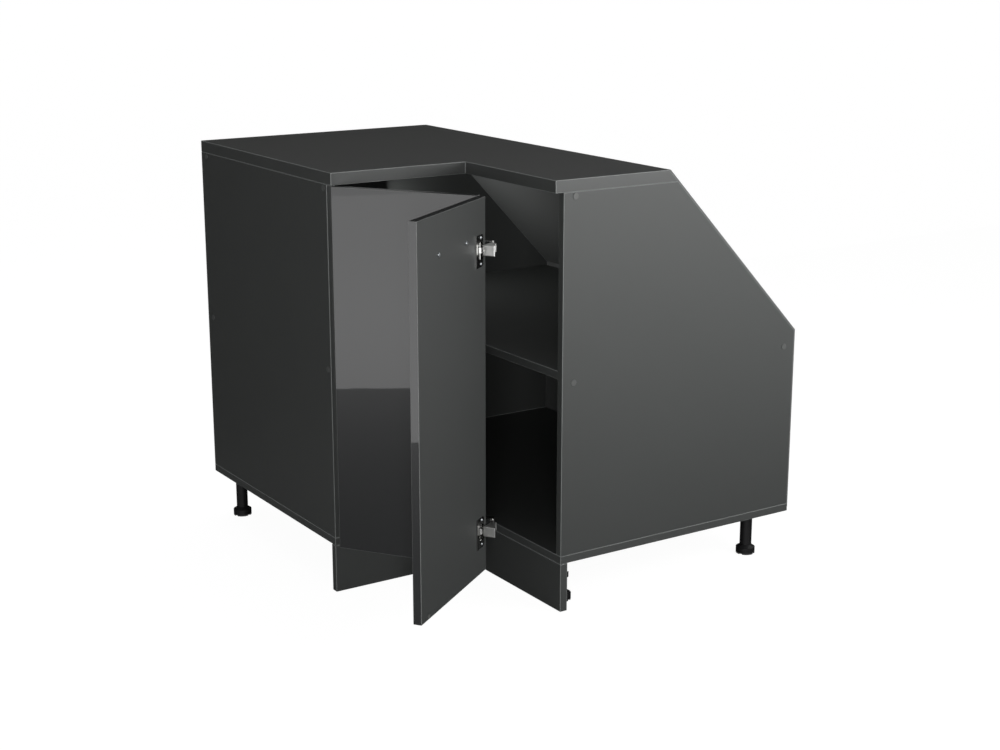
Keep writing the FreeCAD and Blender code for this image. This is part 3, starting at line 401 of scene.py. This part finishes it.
# %% Boards with softened edges
LONG_EDGE = 12 * MM
SAME_PLACE = 0.002 * MM
FLAT = math.radians(1)
SHARP = math.radians(25)
SMOOTH = math.radians(40)
FACING = 0.9
FACE, BAND, REVERSE, ROUND = range(4)


def edit_selected(item):
    """Makes one object the only selected and active one, and opens its mesh for editing."""
    bpy.ops.object.select_all(action="DESELECT")
    item.select_set(True)
    bpy.context.view_layer.objects.active = item
    bpy.ops.object.mode_set(mode="EDIT")


def copy_of_node(name, new_name):
    """A separate copy of a CAD node's mesh, its triangles merged to whole faces."""
    bpy.ops.object.select_all(action="DESELECT")
    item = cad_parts[name].copy()
    item.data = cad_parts[name].data.copy()
    item.name = new_name
    item.parent = None
    bpy.context.scene.collection.objects.link(item)
    edit_selected(item)
    bpy.ops.mesh.select_all(action="SELECT")
    bpy.ops.mesh.remove_doubles(threshold=SAME_PLACE)
    bpy.ops.mesh.dissolve_limited(angle_limit=FLAT)
    bpy.ops.object.mode_set(mode="OBJECT")
    return item


def soften_long_edges(item, radius):
    """Bevels the long sharp edges, leaves holes alone, and keeps only the new rounds selected."""
    edit_selected(item)
    bpy.ops.mesh.select_all(action="DESELECT")
    mesh = bmesh.from_edit_mesh(item.data)
    for edge in mesh.edges:
        sharp = len(edge.link_faces) == 2 and edge.calc_face_angle() > SHARP
        edge.select = sharp and edge.calc_length() > LONG_EDGE
    chosen = sum(edge.select for edge in mesh.edges)
    bmesh.update_edit_mesh(item.data)
    bpy.ops.mesh.bevel(offset=radius, segments=2, profile=0.5, affect="EDGES", clamp_overlap=False)
    for face in bmesh.from_edit_mesh(item.data).faces:
        face.select = face.select and face.calc_area() < radius * face.calc_perimeter()
    bpy.ops.object.mode_set(mode="OBJECT")
    return chosen


def band_narrow_sides(item, broad, face_material, band_material, back_material=None):
    """One finish across the broad direction, the band on narrow sides, and on the rounds the band's pale
    painted-highlight copy where it has one.
    """
    item.data.materials.clear()
    rounds = {edge_band: painted_highlight_band, gloss_film: painted_highlight_film}
    round_material = rounds.get(band_material, band_material)
    for material in (face_material, band_material, back_material or face_material, round_material):
        item.data.materials.append(material)
    for face in item.data.polygons:
        along = face.normal.dot(broad)
        if face.select:
            face.material_index = ROUND
        elif abs(along) > FACING:
            face.material_index = FACE if along > 0 else REVERSE
        else:
            face.material_index = BAND


def dressed_board(node, body, broad, face_material, band_material, back_material=None,
                  radius=1 * MM):
    """A board with softened edges that stands for its CAD node."""
    item = copy_of_node(node, node + "_board")
    edges = soften_long_edges(item, radius)
    band_narrow_sides(item, broad, face_material, band_material, back_material)
    bpy.ops.object.shade_smooth_by_angle(angle=SMOOTH)
    weigh = item.modifiers.new("weigh", "WEIGHTED_NORMAL")
    weigh.keep_sharp = True
    bpy.ops.object.modifier_apply(modifier="weigh")
    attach(item, body)
    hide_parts(node)
    print(item.name, "edges softened:", edges, "faces:", len(item.data.polygons))


UP = Vector((0, 0, 1))
ACROSS = Vector((1, 0, 0))
BACK = Vector((0, 1, 0))
OUT_OF_SLOPE = Vector((0.7254, 0, 0.6884))
dressed_board("worktop", "carcass", UP, worktop_laminate, edge_band, radius=1.2 * MM)
dressed_board("left_side_panel", "carcass", ACROSS, anthracite, edge_band)
dressed_board("right_side_panel", "carcass", BACK, anthracite, edge_band)
dressed_board("wall_panel", "carcass", BACK, anthracite, edge_band)
dressed_board("base_panel", "carcass", UP, anthracite, edge_band)
dressed_board("shelf", "carcass", UP, anthracite, edge_band)
dressed_board("left_plinth", "carcass", BACK, anthracite, edge_band)
dressed_board("right_plinth", "carcass", ACROSS, anthracite, edge_band)
dressed_board("sloped_back", "carcass", OUT_OF_SLOPE, hardboard_tone_and_painted_light, hardboard_tone_and_painted_light, radius=0.4 * MM)
dressed_board("lower_back", "carcass", ACROSS, hardboard_tone_and_painted_light, hardboard_tone_and_painted_light, radius=0.4 * MM)

# %% [markdown]
# The fronts are wrapped on their outside and round their edges, and plain melamine inside. The pair stands
# open at fifty-five degrees, so the inner faces look along directions worked out from that angle.

# %% Door fronts
DOOR_OPEN = math.radians(55)
left_inside = Vector((math.sin(DOOR_OPEN), math.cos(DOOR_OPEN), 0))
right_inside = Vector((math.cos(DOOR_OPEN), -math.sin(DOOR_OPEN), 0))
fronts = [("door_left_leaf", "door_left", left_inside), ("door_right_leaf", "door_right", right_inside)]
for node, body, inside in fronts:
    dressed_board(node, body, inside, anthracite, gloss_film, gloss_film, radius=0.8 * MM)
